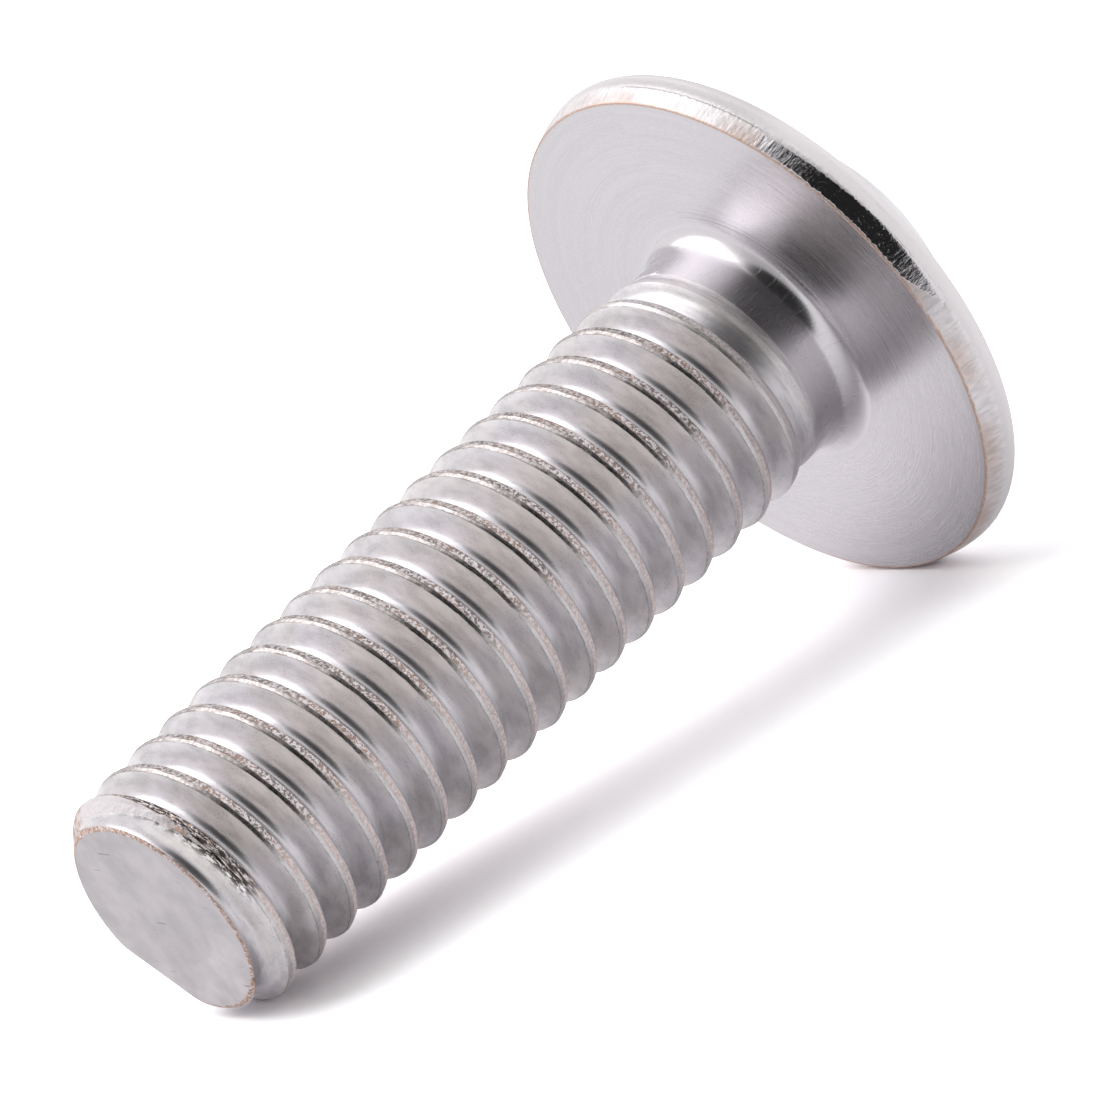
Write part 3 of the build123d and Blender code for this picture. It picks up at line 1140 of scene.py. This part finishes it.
class SCREW_OT_screw(bpy.types.Operator):
    """Build the screw's fine surface and its steel, in place of the plain solid"""

    bl_idname = "screw.build_screw"
    bl_label = "Screw"

    def execute(self, context):
        scene = context.scene
        skin = build_screw_surface(scene.screw_thread, scene.screw_shank, scene.screw_head)
        if not skin.faces:
            raise RuntimeError("the screw's surface came out empty")
        mesh = bpy.data.meshes.new("screw_surface")
        laid_points = [LAID_DOWN @ Vector(p) + Vector(BEARING_FACE["pos_m"]) for p in skin.points]
        mesh.from_pydata(laid_points, [], skin.faces)
        groups = {
            "place": place_group(scene.screw_thread),
            "turned": turned_group(),
            "grain": grain_group(),
        }
        for name, (paint, anisotropy) in FINISHES.items():
            steel = steel_material(f"steel_{name}", scene, groups, paint, anisotropy)
            mesh.materials.append(steel)
        order = list(FINISHES)
        mesh.polygons.foreach_set("material_index", [order.index(f) for f in skin.finishes])
        mesh.shade_smooth()
        mesh.set_sharp_from_angle(angle=SHARP_EDGE)
        piece = bpy.data.objects.new("fine_screw", mesh)
        context.collection.objects.link(piece)
        weighted = piece.modifiers.new("Even shading", "WEIGHTED_NORMAL")
        weighted.keep_sharp = True
        context.view_layer.update()
        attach(piece, "root")
        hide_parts("screw")
        return {"FINISHED"}


class SCREW_OT_stage(bpy.types.Operator):
    """Add the white table, the soft light and the camera"""

    bl_idname = "screw.build_stage"
    bl_label = "Table, light and camera"

    def execute(self, context):
        studio = context.scene.screw_studio
        add_table(context, studio)
        add_surroundings(context, studio)
        add_softbox(context, studio)
        add_camera(context, studio)
        return {"FINISHED"}


def add_table(context, studio):
    """A wide white table at the level the screw rests on."""
    half = 2.0
    front = studio.table_front
    mesh = bpy.data.meshes.new("table")
    corners = [(-half, -half, 0), (half, -half, 0), (half, front, 0), (-half, front, 0)]
    mesh.from_pydata(corners, [], [(0, 1, 2, 3)])
    table = bpy.data.objects.new("table", mesh)
    table.location.z = FLOOR_LEVEL
    context.collection.objects.link(table)
    material = bpy.data.materials.new("white_table")
    nodes = Nodes(emptied(material))
    rays = nodes.add("ShaderNodeLightPath").outputs
    mirrored = nodes.blend(rays["Is Glossy Ray"], 1.0, studio.mirrored_gain)
    # The table's colour, as the camera sees it, darkens where the screw comes near: a painted
    # contact shadow, from ambient occlusion
    contact = nodes.add("ShaderNodeAmbientOcclusion", Distance=studio.contact_reach)
    open_share = nodes.math("POWER", contact.outputs["AO"], studio.contact_strength)
    seen = nodes.times(open_share, studio.table_gain)
    gain = nodes.blend(rays["Is Camera Ray"], mirrored, seen)
    matt = nodes.add("ShaderNodeBsdfDiffuse", Color=nodes.scaled(studio.table, gain))
    nodes.add("ShaderNodeOutputMaterial", Surface=matt.outputs[0])
    mesh.materials.append(material)


def add_surroundings(context, studio):
    """White surroundings, seen as plain white and lighting the screw softly."""
    world = bpy.data.worlds.new("white_surroundings")
    context.scene.world = world
    nodes = Nodes(emptied(world))
    rays = nodes.add("ShaderNodeLightPath").outputs
    seen = nodes.plus(rays["Is Camera Ray"], rays["Is Glossy Ray"])
    seen = nodes.math("ADD", seen, rays["Is Transmission Ray"], clamp=True)
    white = nodes.blend(seen, studio.surround, 1.0)
    direction = nodes.add("ShaderNodeTexCoord").outputs["Generated"]

    def light_left(side):
        """What is left of the light towards a dark or dim side of the room."""
        measures = ("azimuth", "elevation", "spread", "softness", "depth")
        azimuth, elevation, spread, softness, depth = (
            getattr(studio, f"{side}_{measure}") for measure in measures
        )
        towards = nodes.vectors("DOT_PRODUCT", direction, from_angles(azimuth, elevation))
        outer, inner = math.cos(spread + softness / 2), math.cos(spread - softness / 2)
        return nodes.ramp(towards.outputs["Value"], outer, inner, 1.0, 1.0 - depth)

    left = nodes.times(light_left("dark"), light_left("dim"))
    left = nodes.math("MAXIMUM", left, rays["Is Camera Ray"])
    sky = nodes.add("ShaderNodeBackground", Color=(1, 1, 1, 1), Strength=nodes.times(white, left))
    nodes.add("ShaderNodeOutputWorld", Surface=sky.outputs[0])


def from_angles(azimuth, elevation):
    """A direction from its angle round from +X and its angle above the table."""
    level = math.cos(elevation)
    return Vector((level * math.cos(azimuth), level * math.sin(azimuth), math.sin(elevation)))


def add_softbox(context, studio):
    """The large soft light above and behind the screw."""
    light = bpy.data.lights.new("softbox", "AREA")
    light.shape = "SQUARE"
    light.size = studio.softbox_width
    light.energy = studio.softbox_power
    lamp = bpy.data.objects.new("softbox", light)
    direction = from_angles(studio.softbox_azimuth, studio.softbox_elevation)
    lamp.location = direction * studio.softbox_distance
    lamp.rotation_mode = "QUATERNION"
    lamp.rotation_quaternion = direction.to_track_quat("Z", "Y")
    context.collection.objects.link(lamp)


def add_camera(context, studio):
    """The camera, looking down at the tip and the underside of the flange."""
    camera = bpy.data.objects.new("camera", bpy.data.cameras.new("camera"))
    camera.data.sensor_width = 36.0
    camera.data.lens = studio.lens
    camera.data.clip_start = 0.01
    camera.data.clip_end = 10.0
    a, e = studio.camera_azimuth, studio.camera_elevation
    back = Vector((math.sin(a) * math.cos(e), -math.cos(a) * math.cos(e), math.sin(e)))
    look_at = Vector((5.32, -2.70, -2.38)) * MM
    camera.location = look_at + back * studio.camera_distance
    roll = Quaternion((0.0, 0.0, 1.0), -studio.camera_roll)
    camera.rotation_mode = "QUATERNION"
    camera.rotation_quaternion = (-back).to_track_quat("-Z", "Y") @ roll
    context.collection.objects.link(camera)
    context.scene.camera = camera


class SCREW_PT_panel(bpy.types.Panel):
    """Lists the screw's sizes and the buttons that build it"""

    bl_label = "Flanged button head screw"
    bl_idname = "SCREW_PT_panel"
    bl_space_type = "VIEW_3D"
    bl_region_type = "UI"
    bl_category = "Screw"

    def draw(self, context):
        layout = self.layout
        for operator in OPERATORS:
            layout.operator(operator.bl_idname)
        for name in SETTINGS:
            box = layout.box()
            box.label(text=name.replace("_", " ").capitalize())
            values = getattr(context.scene, name)
            for prop in values.bl_rna.properties:
                if prop.identifier not in ("rna_type", "name"):
                    box.prop(values, prop.identifier)


OPERATORS = (SCREW_OT_screw, SCREW_OT_stage)
CLASSES = (*SETTINGS.values(), *OPERATORS, SCREW_PT_panel)


def register():
    for cls in CLASSES:
        bpy.utils.register_class(cls)
    for name, group in SETTINGS.items():
        setattr(bpy.types.Scene, name, PointerProperty(type=group))


def unregister():
    for name in SETTINGS:
        delattr(bpy.types.Scene, name)
    for cls in reversed(CLASSES):
        bpy.utils.unregister_class(cls)


def main():
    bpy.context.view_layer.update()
    register()
    bpy.context.scene.view_settings.view_transform = "Standard"
    bpy.ops.screw.build_screw()
    bpy.ops.screw.build_stage()


if __name__ == "__main__":
    main()
